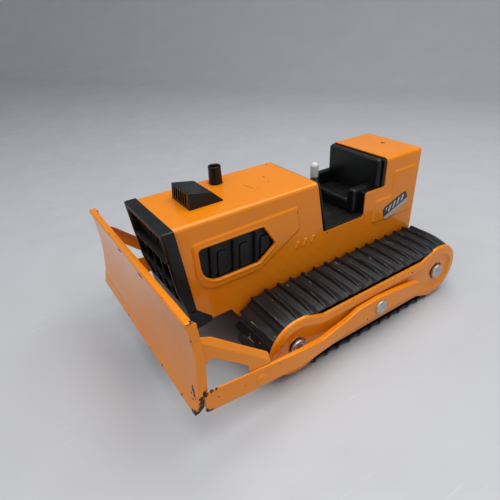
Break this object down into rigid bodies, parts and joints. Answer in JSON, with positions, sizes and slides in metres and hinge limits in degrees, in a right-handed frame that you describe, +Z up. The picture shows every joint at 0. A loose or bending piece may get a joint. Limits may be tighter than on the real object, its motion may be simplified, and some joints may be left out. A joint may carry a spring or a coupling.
{
  "type": "toy bulldozer",
  "caption": "Pressed-steel toy bulldozer on rubber tracks with a lever-lowered curved blade, open cab with a moulded seat, hood with grille, air cleaner and stack.",
  "frame": {"origin": "on the floor, under the middle of the toy seen from above", "axes": "+Z up; the blade faces -Y; +X towards the toy's own left side"},
  "size_m": [0.2064, 0.3189, 0.1609],
  "materials": {
    "orange_paint": "gloss enamel",
    "black_plastic": "satin moulded",
    "black_steel": "dull black paint",
    "zinc_steel": "zinc plated",
    "track_rubber": "soft vinyl, dusty",
    "wheel_plastic": "plain moulded",
    "grey_steel": "grey paint",
    "white_plastic": "aged white",
    "decal": "printed vinyl"
  },
  "bodies": {
    "chassis": {"body_shell": "orange_paint", "grille": "black_plastic", "air_intake": "black_plastic", "exhaust_stack": "black_plastic", "engine_block": "black_plastic", "seat_insert": "black_plastic", "chassis_plate": "black_steel", "chassis_rivets": "zinc_steel", "side_sticker_left": "decal", "side_sticker_right": "decal", "front_axle": "zinc_steel", "rear_axle": "zinc_steel", "axle_caps": "zinc_steel", "axle_spacers": "wheel_plastic", "track_belt_left": "track_rubber", "track_belt_right": "track_rubber", "track_frame_left": "orange_paint", "track_frame_right": "orange_paint", "lever_pin": "zinc_steel", "lever_bracket": "black_steel"},
    "blade_frame": {"blade": "orange_paint", "blade_stiffener": "orange_paint", "push_arm_left": "orange_paint", "push_arm_right": "orange_paint", "end_bracket_left": "orange_paint", "end_bracket_right": "orange_paint", "arm_rivets": "orange_paint", "cross_shaft": "zinc_steel", "pivot_heads": "zinc_steel", "pivot_washers": "zinc_steel", "lift_crank": "zinc_steel"},
    "hand_lever": {"lift_lever": "grey_steel", "lever_knob": "white_plastic", "crank_pin": "zinc_steel"},
    "front_left_drum": {"front_wheel_left": "wheel_plastic"},
    "rear_left_drum": {"rear_wheel_left": "wheel_plastic"},
    "front_right_drum": {"front_wheel_right": "wheel_plastic"},
    "rear_right_drum": {"rear_wheel_right": "wheel_plastic"}
  },
  "joints": [
    {"name": "blade_lift", "type": "hinge", "parent": "chassis", "child": "blade_frame", "pos_m": [0, 0.037, 0.0325], "axis": [1, 0, 0], "range_deg": [0, 11]},
    {"name": "lever_swing", "type": "hinge", "parent": "chassis", "child": "hand_lever", "pos_m": [-0.0225, 0.055, 0.046], "axis": [1, 0, 0], "range_deg": [0, 23.5]},
    {"name": "rear_left_spin", "type": "hinge", "parent": "chassis", "child": "rear_left_drum", "pos_m": [0.0638, 0.1273, 0.0322], "axis": [1, 0, 0], "continuous": true},
    {"name": "front_left_spin", "type": "hinge", "parent": "chassis", "child": "front_left_drum", "pos_m": [0.0638, -0.0568, 0.0322], "axis": [1, 0, 0], "continuous": true},
    {"name": "rear_right_spin", "type": "hinge", "parent": "chassis", "child": "rear_right_drum", "pos_m": [-0.0638, 0.1273, 0.0322], "axis": [1, 0, 0], "continuous": true},
    {"name": "front_right_spin", "type": "hinge", "parent": "chassis", "child": "front_right_drum", "pos_m": [-0.0638, -0.0568, 0.0322], "axis": [1, 0, 0], "continuous": true}
  ],
  "couplings": [
    {"joint": "lever_swing", "follows": "blade_lift", "ratio": 2.132},
    {"joint": "front_left_spin", "follows": "rear_left_spin", "ratio": 1},
    {"joint": "front_right_spin", "follows": "rear_right_spin", "ratio": 1}
  ]
}
